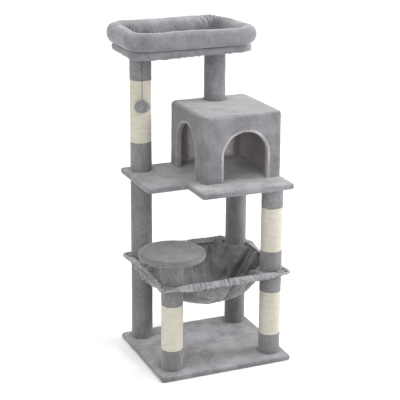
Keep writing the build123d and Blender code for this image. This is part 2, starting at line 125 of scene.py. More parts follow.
def make_light():
    area_light("right", (3.4, -0.6, 2.0), (0, 0, 0.6), 1.6, 112)
    area_light("left", (-3.6, -1.8, 2.2), (0, 0, 0.6), 2.4, 48)
    area_light("front_right", (0.95, -3.3, 3.0), (0.05, 0, 0.6), 0.9, 20)
    area_light("low_front", (0.104, -2.8, 0.62), (0.1, 0, 0.78), 0.2, 0.27, spread=14)
    world = bpy.data.worlds.new("studio")
    world.use_nodes = True
    back = world.node_tree.nodes["Background"]
    back.inputs["Color"].default_value = (1, 1, 1, 1)
    back.inputs["Strength"].default_value = 1.12
    bpy.context.scene.world = world
    bpy.context.scene.view_settings.view_transform = "Standard"


def make_floor():
    mesh = bpy.data.meshes.new("floor")
    mesh.from_pydata([(-20, -20, 0), (20, -20, 0), (20, 20, 0), (-20, 20, 0)], [], [(0, 1, 2, 3)])
    material = bpy.data.materials.new("floor")
    material.use_nodes = True
    shader = material.node_tree.nodes["Principled BSDF"]
    shader.inputs["Base Color"].default_value = (0.93, 0.93, 0.93, 1)
    shader.inputs["Roughness"].default_value = 0.9
    shader.inputs["Specular IOR Level"].default_value = 0.1
    mesh.materials.append(material)
    place("floor", mesh)


# ---------------------------------------------------------------- materials
class Nodes:
    """A short way to write a material's node tree."""

    def __init__(self, name):
        self.material = bpy.data.materials.new(name)
        self.material.use_nodes = True
        self.tree = self.material.node_tree
        self.shader = self.tree.nodes["Principled BSDF"]
        self.coords = self.add("TexCoord")

    def add(self, kind, **values):
        """A shader node, with its properties or its inputs' values set by name."""
        node = self.tree.nodes.new("ShaderNode" + kind)
        for key, value in values.items():
            if key in node.inputs:
                node.inputs[key].default_value = value
            else:
                setattr(node, key, value)
        return node

    def link(self, out, to):
        self.tree.links.new(out, to)

    def feed(self, socket, value):
        """Give a socket a plain value or another node's output, if there is either."""
        if isinstance(value, (tuple, float)):
            socket.default_value = value
        elif value is not None:
            self.link(value, socket)

    def noise(self, scale, detail=3, stretch=(1, 1, 1)):
        """Noise with so many repeats to the metre, stretched along the axes whose share is below 1."""
        mapping = self.add("Mapping", Scale=stretch)
        self.link(self.coords.outputs["Object"], mapping.inputs["Vector"])
        noise = self.add("TexNoise", Scale=scale, Detail=detail, Roughness=0.55)
        self.link(mapping.outputs[0], noise.inputs["Vector"])
        return noise.outputs["Fac"]

    def spread(self, value, low, high, to_low=0.0, to_high=1.0):
        """A value stretched, so that low and high become to_low and to_high."""
        limits = {"From Min": low, "From Max": high, "To Min": to_low, "To Max": to_high}
        node = self.add("MapRange", **limits)
        self.link(value, node.inputs["Value"])
        return node.outputs["Result"]

    def mix(self, factor, a, b, blend="MIX"):
        """Mix two colours, each a colour or another node's output."""
        node = self.add("Mix", data_type="RGBA", blend_type=blend)
        for socket, value in ((0, factor), (6, a), (7, b)):
            self.feed(node.inputs[socket], value)
        return node.outputs[2]

    def shade(self, colour, by, low, high):
        """A colour multiplied by a grey that runs from low to high."""
        return self.mix(1.0, colour, self.mix(by, grey(low), grey(high)), "MULTIPLY")

    def bump(self, height, distance, strength=1.0, below=None):
        node = self.add("Bump", Strength=strength, Distance=distance)
        self.link(height, node.inputs["Height"])
        self.feed(node.inputs["Normal"], below)
        return node.outputs["Normal"]

    def finish(self, colour, normal=None, roughness=0.9, specular=0.2, sheen=0.0, metallic=0.0):
        for name, value in (("Base Color", colour), ("Normal", normal), ("Roughness", roughness),
                            ("Specular IOR Level", specular), ("Sheen Weight", sheen),
                            ("Sheen Roughness", 0.35), ("Metallic", metallic)):
            self.feed(self.shader.inputs[name], value)
        return self.material


def grey(value, warm=0.0):
    """A very slightly cool grey, or a warmer one."""
    return (value * 1.005 + warm, value, value * 1.013 - warm * 0.4, 1.0)


def plush_material(name, light, dark, sheen=0.5, nap=(1, 1, 1), lift=0.0, brushed=0.0):
    """Short plush pile: patches where the nap lies differently, a fine speckle and a soft rim.
    Faces that look up are painted lighter by the share lift, and faces that the mesh's attribute marks are
    painted lighter by that share: both are painted light."""
    n = Nodes(name)
    patches = n.spread(n.noise(16, 4, nap), 0.38, 0.64)
    strokes = n.spread(n.noise(60, 3, nap), 0.35, 0.68)
    pile = n.spread(n.noise(620, 2), 0.3, 0.7)
    colour = n.mix(patches, dark, light)
    colour = n.mix(n.spread(strokes, 0, 1, 0.0, 0.45), colour, light)
    colour = n.shade(colour, pile, 0.80, 1.10)
    colour = n.shade(colour, n.spread(n.noise(290, 3, nap), 0.33, 0.67), 0.76, 1.22)
    # Painted light: faces that look up are made lighter by the share lift.
    facing = n.add("SeparateXYZ")
    n.link(n.coords.outputs["Normal"], facing.inputs[0])
    colour = n.shade(colour, n.spread(facing.outputs["Z"], 0.4, 0.95), 1.0, 1 + lift)
    # Painted light: where the mesh's attribute marks it, the colour is made lighter by that share.
    if brushed:
        where = n.add("Attribute", attribute_name="brushed")
        colour = n.shade(colour, where.outputs["Fac"], 1.0, 1 + brushed)
    tufts = n.bump(n.noise(520, 3), 1.1 * MM, 0.55)
    normal = n.bump(n.noise(150, 3, nap), 2.4 * MM, 0.8, tufts)
    return n.finish(colour, normal, roughness=0.95, specular=0.12, sheen=sheen)


def sisal_material():
    """Sisal rope: pale fibres twisted along each turn, darker in the grooves between its twisted strands,
    which is painted shade.
    """
    n = Nodes("sisal_rope")
    strands = n.add("TexWave", wave_type="BANDS", bands_direction="DIAGONAL",
                    Scale=1.0, Distortion=1.6, Detail=2.0)
    n.link(n.coords.outputs["UV"], strands.inputs["Vector"])
    fibres = n.noise(900, 3, (1, 1, 3))
    patches = n.spread(n.noise(24, 3, (1, 1, 4)), 0.35, 0.68)
    colour = n.mix(patches, (0.51, 0.493, 0.409, 1.0), (0.58, 0.562, 0.47, 1.0))
    colour = n.shade(colour, n.spread(fibres, 0.3, 0.7), 0.86, 1.06)
    # Painted shade: the grooves between the strands, where the bump sinks, are made darker.
    colour = n.shade(colour, strands.outputs["Fac"], 0.93, 1.03)
    normal = n.bump(strands.outputs["Fac"], 0.4 * MM, 0.5, n.bump(fibres, 0.3 * MM, 0.4))
    return n.finish(colour, normal, roughness=0.85, specular=0.2, sheen=0.1)


def thread_material():
    n = Nodes("string")
    fibres = n.noise(2600, 3)
    colour = n.mix(n.spread(fibres, 0.3, 0.7), (0.003, 0.003, 0.004, 1.0), (0.012, 0.012, 0.014, 1.0))
    return n.finish(colour, n.bump(fibres, 0.3 * MM, 0.6), roughness=0.8, specular=0.15, sheen=0.03)


def grained_material(name, scale, dark, light, bump, roughness, detail=3, stretch=(1, 1, 1), contrast=True,
                     **finish):
    """A dull material with one grain, for its colour from dark to light and its bump: (height, strength)."""
    n = Nodes(name)
    grain = n.noise(scale, detail, stretch)
    if contrast:
        grain = n.spread(grain, 0.3, 0.7)
    colour = n.mix(grain, (*dark, 1.0), (*light, 1.0))
    return n.finish(colour, n.bump(grain, *bump), roughness, **finish)


def steel_material():
    n = Nodes("zinc_plated_steel")
    wear = n.spread(n.noise(180, 4), 0.35, 0.7, 0.22, 0.42)
    colour = n.mix(n.noise(90, 3), (0.52, 0.52, 0.54, 1.0), (0.68, 0.68, 0.70, 1.0))
    scratches = n.bump(n.noise(900, 2), 0.05 * MM, 0.5)
    return n.finish(colour, scratches, roughness=wear, specular=0.5, metallic=1.0)


def dark_metal_material():
    n = Nodes("dark_metal")
    wear = n.spread(n.noise(400, 4), 0.35, 0.7, 0.35, 0.6)
    colour = n.mix(n.noise(500, 3), (0.020, 0.020, 0.022, 1.0), (0.05, 0.05, 0.052, 1.0))
    return n.finish(colour, roughness=wear, specular=0.5, metallic=0.6)


# Copies of one grey plush. Their tones differ from piece to piece to stand in for how light falls on each
# piece: painted light and shade. The perch's copy is darker (painted shade), and the hem's lighter (painted
# light).
PLUSH = plush_material("plush", grey(0.208), grey(0.120), lift=0.55)
HOUSE_PLUSH = plush_material("house_plush", grey(0.177), grey(0.118), lift=0.66)
PERCH_PLUSH_PAINTED_SHADE = plush_material("perch_plush", grey(0.160), grey(0.115))
POST_PLUSH = plush_material("post_plush", grey(0.196), grey(0.134), nap=(1, 1, 0.45))
HAMMOCK_PLUSH = plush_material("hammock_plush", grey(0.214, 0.002), grey(0.138, 0.002), lift=0.2)
HEM_PLUSH_PAINTED_LIGHT = plush_material("hem_plush", grey(0.28, 0.002), grey(0.165, 0.002), lift=0.3)
BED_PLUSH = plush_material("bed_plush", grey(0.208), grey(0.146), lift=0.34, brushed=0.42)
LINING_PLUSH = plush_material("house_lining_plush", grey(0.33, 0.022), grey(0.26, 0.022), sheen=0.1)
BINDING = plush_material("binding", grey(0.30), grey(0.20), sheen=0.6)
POM_YARN = plush_material("pom_yarn", grey(0.38), grey(0.25), sheen=0.5)
SISAL = sisal_material()
THREAD = thread_material()

SLOT_MATERIALS = {
    "plush": PLUSH, "hammock_plush": HAMMOCK_PLUSH, "bed_plush": BED_PLUSH, "house_felt": LINING_PLUSH,
    "binding": BINDING, "sisal": SISAL, "string": THREAD, "pom_yarn": POM_YARN,
    "zinc_plated_steel": steel_material(), "dark_metal": dark_metal_material(),
    "particle_board": grained_material(
        "particle_board", 420, (0.36, 0.24, 0.13), (0.60, 0.44, 0.27), (0.3 * MM, 0.5), 0.8,
        detail=4, stretch=(1, 1, 0.4)),
    "cardboard": grained_material(
        "cardboard", 300, (0.30, 0.20, 0.11), (0.42, 0.30, 0.18), (0.2 * MM, 0.4), 0.85,
        stretch=(1, 1, 0.2)),
    "plug_plastic": grained_material(
        "plug_plastic", 1200, (0.012, 0.012, 0.012), (0.03, 0.03, 0.03), (0.1 * MM, 0.5), 0.55,
        contrast=False, specular=0.4),
    "nonwoven_lining": grained_material(
        "nonwoven_lining", 1400, (0.010, 0.010, 0.011), (0.035, 0.035, 0.038), (0.3 * MM, 0.6), 0.95,
        detail=4, contrast=False, sheen=0.2),
}


def finish_cad_nodes():
    """Give every CAD node that still shows its procedural material."""
    for part in frame["record"]["subparts"]:
        for slot in frame["nodes"][part["node"]].material_slots:
            slot.material = SLOT_MATERIALS[part["material_slot"]]


# ---------------------------------------------------------------- mesh helpers
NOISE_SIDE = 32
NOISE_TABLE = np.random.default_rng(11).uniform(-1, 1, (NOISE_SIDE,) * 3)


def lumps(points, size, shift=0.0):
    """Smooth noise from -1 to 1 at each point, with lumps of about one size."""
    scaled = np.asarray(points) / size + shift
    cell = np.floor(scaled).astype(int)
    part = scaled - cell
    part = part * part * (3 - 2 * part)
    total = np.zeros(len(scaled))
    for corner in np.ndindex(2, 2, 2):
        corner = np.array(corner)
        index = (cell + corner) % NOISE_SIDE
        weight = np.prod(np.where(corner == 1, part, 1 - part), axis=1)
        total += weight * NOISE_TABLE[index[:, 0], index[:, 1], index[:, 2]]
    return total


def rough(points, *layers):
    """Layers of noise added up, each (height, lump size) in millimetres, and a shift if it needs one."""
    return sum(height * MM * lumps(points, size * MM, *shift) for height, size, *shift in layers)


def clamp(value):
    """A value held between 0 and 1."""
    return np.clip(value, 0, 1)


def smooth_step(value, low, high):
    """From 0 below low to 1 above high, with no corner at either."""
    share = clamp((value - low) / (high - low))
    return share * share * (3 - 2 * share)


def bell(distance, width):
    """1 where the distance is nothing, falling away smoothly over a width."""
    return np.exp(-((distance / width) ** 2))


def ridges(run, seed, low, high):
    """A row of rounded ridges, from 0 in the creases to 1 on top, spaced unevenly between two widths."""
    gaps = np.random.default_rng(seed).uniform(low, high, 200)
    phase = np.interp(run + 1.5, np.cumsum(gaps), np.arange(200))
    return np.abs(np.sin(phase * np.pi)) ** 0.7


def new_piece(name, verts, faces, material, body="tree"):
    """A smooth mesh object that rides on a body."""
    mesh = bpy.data.meshes.new(name)
    mesh.from_pydata([tuple(map(float, v)) for v in verts], [], [tuple(map(int, f)) for f in faces])
    mesh.validate()
    mesh.polygons.foreach_set("use_smooth", [True] * len(mesh.polygons))
    mesh.materials.append(material)
    mesh.update()
    piece = place(name, mesh)
    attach(piece, body)
    return piece


def vertex_values(piece, kind):
    flat = np.empty(len(piece.data.vertices) * 3)
    piece.data.vertices.foreach_get(kind, flat)
    return flat.reshape(-1, 3)


def coordinates(piece):
    return vertex_values(piece, "co")


def normals(piece):
    return vertex_values(piece, "normal")


def move_to(piece, points):
    piece.data.vertices.foreach_set("co", np.asarray(points, dtype=np.float32).ravel())
    piece.data.update()


def raise_by(piece, height):
    """Move each vertex along its normal."""
    move_to(piece, coordinates(piece) + normals(piece) * height[:, None])


def ruffle(piece, *layers, swell=0.0):
    """Move each vertex along its normal by layers of noise, each (height, lump size) in millimetres."""
    shifted = [(*layer, 3.7 * k) for k, layer in enumerate(layers)]
    raise_by(piece, swell + rough(coordinates(piece), *shifted))


def keep_above(piece, level):
    points = coordinates(piece)
    points[:, 2] = np.maximum(points[:, 2], level)
    move_to(piece, points)


def apply_modifiers(piece):
    """Put the result of a piece's modifiers into its mesh."""
    depsgraph = bpy.context.evaluated_depsgraph_get()
    mesh = bpy.data.meshes.new_from_object(piece.evaluated_get(depsgraph), depsgraph=depsgraph)
    piece.modifiers.clear()
    piece.data = mesh
    mesh.polygons.foreach_set("use_smooth", [True] * len(mesh.polygons))


def remesh(piece, voxel, smooth=3):
    """Rebuild a closed mesh with even faces of about one voxel, and soften it."""
    piece.modifiers.new("even", "REMESH").voxel_size = voxel
    soft = piece.modifiers.new("soft", "SMOOTH")
    soft.iterations, soft.factor = smooth, 0.5
    apply_modifiers(piece)


def band_faces(rows, columns, closed_rows=False, closed_columns=True):
    """The quads of a grid of points, rows by columns, with either way closed on itself."""
    row_ends = rows if closed_rows else rows - 1
    column_ends = columns if closed_columns else columns - 1
    return [
        (i * columns + j, i * columns + (j + 1) % columns,
         (i + 1) % rows * columns + (j + 1) % columns, (i + 1) % rows * columns + j)
        for i in range(row_ends) for j in range(column_ends)
    ]


def block_faces(count):
    """The faces of a block: a ring of so many points and, after it, the same ring moved."""
    sides = [(i, (i + 1) % count, count + (i + 1) % count, count + i) for i in range(count)]
    return [tuple(range(count))[::-1], tuple(range(count, 2 * count))] + sides


def end_faces(count, sides):
    """The two ends of a tube of so many points."""
    return [tuple(range(sides))[::-1], tuple(range(count - sides, count))]


def even_turns(count):
    return np.linspace(0, 2 * np.pi, count, endpoint=False)


def circle(radius, count):
    return radius * np.stack([np.cos(even_turns(count)), np.sin(even_turns(count))], axis=1)


OUTLINE_STEP = 4 * MM


def rounded_outline(corners, radii):
    """A polygon's outline with each corner rounded, as evenly spaced x, y points, counter-clockwise."""
    points = []
    count = len(corners)
    for k in range(count):
        before, here, after = (np.array(corners[(k + d) % count], float) for d in (-1, 0, 1))
        a, b = before - here, after - here
        a, b = a / np.linalg.norm(a), b / np.linalg.norm(b)
        half = math.acos(np.clip(a @ b, -1, 1)) / 2
        reach = radii[k] / math.tan(half)
        centre = here + (a + b) / np.linalg.norm(a + b) * radii[k] / math.sin(half)
        start, end = here + a * reach - centre, here + b * reach - centre
        turn = math.atan2(start[0] * end[1] - start[1] * end[0], start @ end)
        pieces = max(2, round(abs(turn) * radii[k] / OUTLINE_STEP))
        for t in np.linspace(0, turn, pieces + 1):
            c, s = math.cos(t), math.sin(t)
            points.append(centre + (start[0] * c - start[1] * s, start[0] * s + start[1] * c))
    return np.array(points)


def box_outline(low, high, radius):
    corners = [(low[0], low[1]), (high[0], low[1]), (high[0], high[1]), (low[0], high[1])]
    return rounded_outline(corners, [radius] * 4)


def resample(outline, step):
    """Points at even steps along a closed outline, with the distance along it of each."""
    closed = np.vstack([outline, outline[:1]])
    lengths = np.r_[0, np.cumsum(np.linalg.norm(np.diff(closed, axis=0), axis=1))]
    count = round(lengths[-1] / step)
    along = np.arange(count) * lengths[-1] / count
    return np.stack([np.interp(along, lengths, closed[:, k]) for k in (0, 1)], axis=1), along


def ring_directions(path):
    """At each point of a closed outline, the way ahead and the way out of it."""
    ahead = np.roll(path, -1, axis=0) - np.roll(path, 1, axis=0)
    ahead /= np.linalg.norm(ahead, axis=1)[:, None]
    return ahead, np.stack([ahead[:, 1], -ahead[:, 0]], axis=1)


def open_directions(path):
    """The way ahead at each point of a path that has ends."""
    ahead = np.gradient(path, axis=0)
    return ahead / np.linalg.norm(ahead, axis=1)[:, None]


def nearest_on(path, points):
    """The number of the path's point that each point is nearest to, in plan."""
    return np.array([np.argmin(np.hypot(path[:, 0] - x, path[:, 1] - y)) for x, y in points[:, :2]])


def tube_along(name, path, across, section, material, closed=False):
    """A solid swept along points; each station's section lies in its across and up directions."""
    path = np.asarray(path)
    stations, sides = len(path), len(section)
    verts = np.array([
        path[i] + across[i][0] * a + across[i][1] * b for i in range(stations) for a, b in section
    ])
    faces = band_faces(stations, sides, closed_rows=closed)
    if not closed:
        faces += end_faces(len(verts), sides)
    return new_piece(name, verts, faces, material)


def rounded_section(a_low, a_high, b_low, b_high, power=3.2, count=20):
    """A soft rectangle's outline between two pairs of limits."""
    angles = even_turns(count)
    c, s = np.cos(angles), np.sin(angles)
    a = (a_low + a_high) / 2 + (a_high - a_low) / 2 * np.sign(c) * np.abs(c) ** (2 / power)
    b = (b_low + b_high) / 2 + (b_high - b_low) / 2 * np.sign(s) * np.abs(s) ** (2 / power)
    return list(zip(a, b))


def prism(name, outline, bottom, top, material, bevel=None):
    """A closed block with an outline, its upper and lower edges rounded."""
    verts = [(x, y, bottom) for x, y in outline] + [(x, y, top) for x, y in outline]
    piece = new_piece(name, verts, block_faces(len(outline)), material)
    if bevel:
        rounding = piece.modifiers.new("edges", "BEVEL")
        rounding.width, rounding.segments = bevel, 4
        rounding.limit_method, rounding.angle_limit = "ANGLE", math.radians(60)
        apply_modifiers(piece)
    return piece


# ---------------------------------------------------------------- boards wrapped in plush
def press_posts(piece, top, posts):
    """Dent the plush in a ring where posts stand on it."""
    points = coordinates(piece)
    on_top = clamp((points[:, 2] - (top - 6 * MM)) / (4 * MM))
    for x, y in posts:
        away = np.hypot(points[:, 0] - x, points[:, 1] - y) - SLEEVE_R
        dent = bell(away, 5 * MM) * (away > -8 * MM)
        rim = bell(away - 8 * MM, 4 * MM) * clamp(0.3 + lumps(points, 9 * MM, 2.0))
        points[:, 2] += (1.8 * MM * rim - 2 * MM * dent) * on_top
    move_to(piece, points)


def wrapped_board(name, outline, low, high, material, edge, posts=()):
    """A board's plush: a rounded slab, a little lumpy, pressed in where posts stand on it."""
    piece = prism(name, outline, low[2], high[2], material, bevel=edge)
    remesh(piece, 4 * MM)
    ruffle(piece, (0.6, 45), (0.4, 14), (0.25, 6), swell=0.6 * MM)
    press_posts(piece, high[2], posts)
    keep_above(piece, low[2])
    return piece


STEP_X, STEP_Y = -0.101, -0.077  # the inner corner of the platform's notch
PLATFORM_RADII = [r * MM for r in (11, 4, 9, 10, 12, 12)]


def make_boards():
    base = wrapped_board("base_plush", box_outline(BASE_LOW, BASE_HIGH, 9 * MM), BASE_LOW, BASE_HIGH,
                         PLUSH, 6 * MM, posts=CORNERS)
    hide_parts("base_cover")

    (left, front), (right, back) = PLATFORM_LOW[:2], PLATFORM_HIGH[:2]
    corners = [(left, STEP_Y), (STEP_X, STEP_Y), (STEP_X, front), (right, front), (right, back),
               (left, back)]
    outline = rounded_outline(corners, PLATFORM_RADII)
    platform = wrapped_board("platform_plush", outline, PLATFORM_LOW, PLATFORM_HIGH, PLUSH, 6 * MM,
                             posts=[post_axis("bed_left_post")[:2]])
    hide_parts("platform_cover")

    outline = (PERCH_LOW + PERCH_HIGH)[:2] / 2 + circle(radius_of("perch_cover"), 180)
    perch = wrapped_board("perch_plush", outline, PERCH_LOW, PERCH_HIGH, PERCH_PLUSH_PAINTED_SHADE, 6 * MM)
    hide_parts("perch_cover")

    bed = wrapped_board("bed_board_plush", box_outline(BED_LOW, BED_HIGH, 62 * MM), BED_LOW, BED_HIGH,
                        BED_PLUSH, 9 * MM)
    fray_skirt(bed)
    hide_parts("bed_cover")


def fray_skirt(bed):
    """Let the lower edge of the bed's plush hang ragged, and lower towards the front left."""
    points, out = coordinates(bed), normals(bed)
    skirt = clamp(1 - (points[:, 2] - BED_LOW[2]) / (14 * MM))
    ragged = np.clip(lumps(points * (1, 1, 0), 12 * MM, 6.0), -0.3, 1) + 0.6 * lumps(points, 6 * MM, 3.0)
    points[:, :2] += out[:, :2] * (1.6 * MM * skirt * ragged)[:, None]
    from_right, from_back = BED_HIGH[0] - points[:, 0], BED_HIGH[1] - points[:, 1]
    slack = smooth_step(from_right, 0.15, 0.40) * smooth_step(from_back, 0.10, 0.25)
    points[:, 2] -= (2.4 * MM * clamp(ragged) + 5 * MM * slack) * skirt
    move_to(bed, points)


# ---------------------------------------------------------------- posts
TURNED_SIDES = 96


def turned(name, profile, centre, material):
    """A ring-shaped solid of revolution round a vertical axis, from a closed profile of (radius, z)."""
    verts = [(centre[0] + r * math.cos(t), centre[1] + r * math.sin(t), z)
             for r, z in profile for t in even_turns(TURNED_SIDES)]
    return new_piece(name, verts, band_faces(len(profile), TURNED_SIDES, closed_rows=True), material)


SLEEVE_ROLL, SLEEVE_ROW = 4 * MM, 5 * MM


def sleeve_profile(low, high, inner, outer):
    """A sleeve's closed section: rolled edges, and rows close enough together to be ruffled."""
    roll = SLEEVE_ROLL
    corner = [(math.sin(a) * roll, (1 - math.cos(a)) * roll) for a in np.linspace(0, math.pi / 2, 5)]
    rows = np.linspace(low + roll, high - roll, max(3, round((high - low) / SLEEVE_ROW)))[1:-1]
    bottom = [(outer - roll + out, low + up) for out, up in corner]
    top = [(outer - roll + out, high - up) for out, up in reversed(corner)]
    return [(inner, low)] + bottom + [(outer, z) for z in rows] + top + [(inner, high)]


SEAM_TURN = math.radians(75)     # the sleeves' seams face the back


def make_sleeves():
    """The plush round every post, each stretch a separate ring with its seam at the back."""
    for post in POSTS:
        x, y, bottom, top = post_axis(post)
        sisal = f"{post}_sisal"
        bottom, top = bottom - 2.5 * MM, top + 2.5 * MM
        spans = [(bottom, top)]
        if sisal in frame["nodes"]:
            low, high = (corner[2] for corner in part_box(sisal))
            spans = [(bottom, low), (high, top)]
        for place, (low, high) in zip(("low", "high"), spans):
            name = f"{post}_sleeve_{place}" if len(spans) > 1 else f"{post}_sleeve"
            piece = turned(name, sleeve_profile(low, high, TUBE_R, SLEEVE_R), (x, y), POST_PLUSH)
            points = coordinates(piece)
            turn = np.arctan2(points[:, 1] - y, points[:, 0] - x)
            outside = np.hypot(points[:, 0] - x, points[:, 1] - y) > TUBE_R + 1 * MM
            seam = bell((turn - SEAM_TURN) * SLEEVE_R, 1.6 * MM)
            end = bell(np.minimum(points[:, 2] - low, high - points[:, 2]), 7 * MM)
            height = rough(points, (0.55, 38), (0.3, 9, 5.1)) - 1.4 * MM * seam
            height += end * rough(points * (1, 1, 0.3), (0.9, 7, 9.2))
            raise_by(piece, height * outside)
            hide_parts(f"{post}_plush")


ROPE_PITCH = 4.6 * MM
ROPE_SIDES = 7                   # points round the rope
ROPE_STEPS = 72                  # stations in each turn round the post
STRAND_RUN = 2.2 * MM            # the rope's length for one repeat of its strands


def make_sisal():
    """Sisal rope wound closely round a post: one helix, its ends tucked under the plush."""
    for name in [n for n in frame["nodes"] if n.endswith("_sisal")]:
        low, high = box(name)
        low[2], high[2] = low[2] - ROPE_PITCH, high[2] + ROPE_PITCH
        centre, radius = (low + high)[:2] / 2, (high[0] - low[0]) / 2
        height = high[2] - low[2]
        turns = round(height / ROPE_PITCH)
        pitch = height / turns
        wound = np.arange((turns - 1) * ROPE_STEPS + 1) / ROPE_STEPS
        turn, rise = wound * 2 * np.pi, low[2] + pitch / 2 + wound * pitch
        wander = 0.12 * MM * lumps(np.stack([turn * 7, rise * 9, rise * 0], axis=1), 1.0)
        angles = even_turns(ROPE_SIDES)
        half = pitch / 2 * 1.04  # a little more, so that the turns touch
        out = radius - half + wander[:, None] + half * np.cos(angles)
        up = rise[:, None] + half * np.sin(angles)
        across = centre[0] + out * np.cos(turn)[:, None]
        deep = centre[1] + out * np.sin(turn)[:, None]
        verts = np.stack([across, deep, up], 2).reshape(-1, 3)
        faces = band_faces(len(wound), ROPE_SIDES) + end_faces(len(verts), ROPE_SIDES)
        piece = new_piece(name.replace("_sisal", "_rope"), verts, faces, SISAL)
        layer = piece.data.uv_layers.new(name="rope")
        loops = np.empty(len(piece.data.loops), dtype=int)
        piece.data.loops.foreach_get("vertex_index", loops)
        run = (turn * radius / STRAND_RUN)[loops // ROPE_SIDES]
        side = loops % ROPE_SIDES / ROPE_SIDES * 4
        layer.data.foreach_set("uv", np.stack([run, side], axis=1).astype(np.float32).ravel())
        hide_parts(name)


# ---------------------------------------------------------------- bed: a stuffed ring and a mat
BOLSTER_W, BOLSTER_BEND = 62 * MM, 54 * MM
BOLSTER_POWER = 2.35       # of the section's rounded square
LEAST_TURN = 2.5 * MM      # the inside of a corner stays this far from the middle of its turn
# At the corners front left, back left, front right and back right
FOLD_STRENGTHS = (0.55, 1.0, 0.5, 1.9)
PINCHES = [depth * MM for depth in (2, 3, 2, 5)]


def sweep_bolster(path, outward, centres):
    """The ring's smooth shape: a rounded section swept round the bed, higher at the back."""
    height = BOLSTER_HIGH[2] - BOLSTER_LOW[2]
    sides = even_turns(40)
    half = BOLSTER_W / 2
    section = rounded_section(-half, half, -height / 2, height / 2, BOLSTER_POWER, len(sides))
    out, up = np.array(section).T
    tucked = clamp(-np.sin(sides)) * (np.cos(sides) > 0)  # where it meets the board
    out = out - 3 * MM * tucked
    rows = clamp((path[:, 1] - BOLSTER_LOW[1]) / (BOLSTER_HIGH[1] - BOLSTER_LOW[1]))
    tall = np.minimum(0.86 + 0.14 * rows, 1 - 0.13 * smooth_step(path[:, 0], 0.11, 0.19))
    verts = np.empty((len(path), len(sides), 3))
    verts[:, :, :2] = path[:, None, :] + outward[:, None, :] * out[None, :, None]
    verts[:, :, 2] = BOLSTER_LOW[2] + (height / 2 + up)[None, :] * tall[:, None]
    from_centres = np.linalg.norm(path[:, None, :] - centres[None], axis=2)
    for k in np.nonzero(np.min(from_centres, axis=1) < BOLSTER_BEND * 1.02)[0]:
        outside = (verts[k, :, :2] - centres[np.argmin(from_centres[k])]) @ outward[k]
        short = outside < LEAST_TURN
        verts[k, short, :2] += outward[k] * (LEAST_TURN - outside[short])[:, None]
    faces = band_faces(len(path), len(sides), closed_rows=True)
    return new_piece("bed_ring", verts.reshape(-1, 3), faces, BED_PLUSH)


def fold_bolster(ring, centres):
    """Lumps in the stuffing, and folds that fan out from the inside of each corner."""
    height = BOLSTER_HIGH[2] - BOLSTER_LOW[2]
    points = coordinates(ring)
    height_share = (points[:, 2] - BOLSTER_LOW[2]) / height
    push = rough(points, (2.6, 95), (0.45, 9, 4.4), (0.25, 5, 6.1))
    push += rough(points * (1, 1, 0.5), (1.3, 34, 2.2))
    for n, corner in enumerate(centres):
        away = points[:, :2] - corner
        far = np.hypot(away[:, 0], away[:, 1])
        turn = np.arctan2(away[:, 1], away[:, 0])
        uneven = lumps(np.stack([turn * 2, far * 20, far * 0 + n], axis=1), 1.0)
        fold = np.cos(turn * 21 + 2.2 * uneven)
        fold = -clamp(-fold) ** 1.5 + 0.35 * clamp(fold)
        reach = bell(far, 50 * MM) * clamp(height_share * 2.2 - 0.35)
        push += 4.6 * MM * FOLD_STRENGTHS[n] * fold * reach - PINCHES[n] * bell(far, 22 * MM)
    middle = BOLSTER_LOW[2] + height / 2
    raise_by(ring, push * (1 - 0.8 * clamp((middle - points[:, 2]) / (height / 2)) ** 2))
    points = coordinates(ring)
    points[:, 2] = np.clip(points[:, 2], BOLSTER_LOW[2] - 1 * MM, BOLSTER_HIGH[2] + 3 * MM)
    move_to(ring, points)


def make_bolster():
    """The bed's stuffed ring, with its inside painted lighter: painted light."""
    low, high = BOLSTER_LOW[:2] + BOLSTER_W / 2 + 1 * MM, BOLSTER_HIGH[:2] - BOLSTER_W / 2 - 1 * MM
    path = resample(box_outline(low, high, BOLSTER_BEND), 6 * MM)[0]
    outward = ring_directions(path)[1]
    centres = np.array([(x, y) for x in (low[0] + BOLSTER_BEND, high[0] - BOLSTER_BEND)
                        for y in (low[1] + BOLSTER_BEND, high[1] - BOLSTER_BEND)])
    ring = sweep_bolster(path, outward, centres)
    remesh(ring, 3.2 * MM, smooth=4)
    fold_bolster(ring, centres)
    points = coordinates(ring)
    nearest = nearest_on(path, points)
    inward = -np.sum((points[:, :2] - path[nearest]) * outward[nearest], axis=1)
    # Painted light: the inside of the ring is marked to be painted lighter, fading in over 20 mm.
    layer = ring.data.attributes.new("brushed", "FLOAT", "POINT")
    layer.data.foreach_set("value", clamp(inward / (20 * MM)).astype(np.float32))
    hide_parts("bed_bolster")


def make_mat():
    """The thin cushion that lies inside the ring, crowned in the middle."""
    outline = box_outline(MAT_LOW - 2 * MM, MAT_HIGH + 2 * MM, 12 * MM)
    mat = prism("bed_cushion", outline, MAT_LOW[2], MAT_HIGH[2], BED_PLUSH, bevel=3 * MM)
    remesh(mat, 4 * MM, smooth=2)
    points = coordinates(mat)
    middle, half = (MAT_LOW + MAT_HIGH) / 2, (MAT_HIGH - MAT_LOW) / 2
    share = (points[:, :2] - middle[:2]) / half[:2]
    crown = clamp(1 - share[:, 0] ** 4) * clamp(1 - share[:, 1] ** 4)
    on_top = points[:, 2] > middle[2]
    points[:, 2] += on_top * (4.5 * MM * crown + rough(points, (1.4, 60), (0.5, 14)))
    move_to(mat, points)
    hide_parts("bed_mat")


# ---------------------------------------------------------------- house
WALL_FULL = 16.5 * MM         # plush, board and lining together
ARCH_HALF = 85 * MM
FRONT_ARCH_X = sum(c[0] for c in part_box("front_arch_trim")) / 2
LEFT_ARCH_Y = sum(c[1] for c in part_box("left_arch_trim")) / 2
FLOOR = PLATFORM_HIGH[2]
DOORWAYS = ("front", "left")


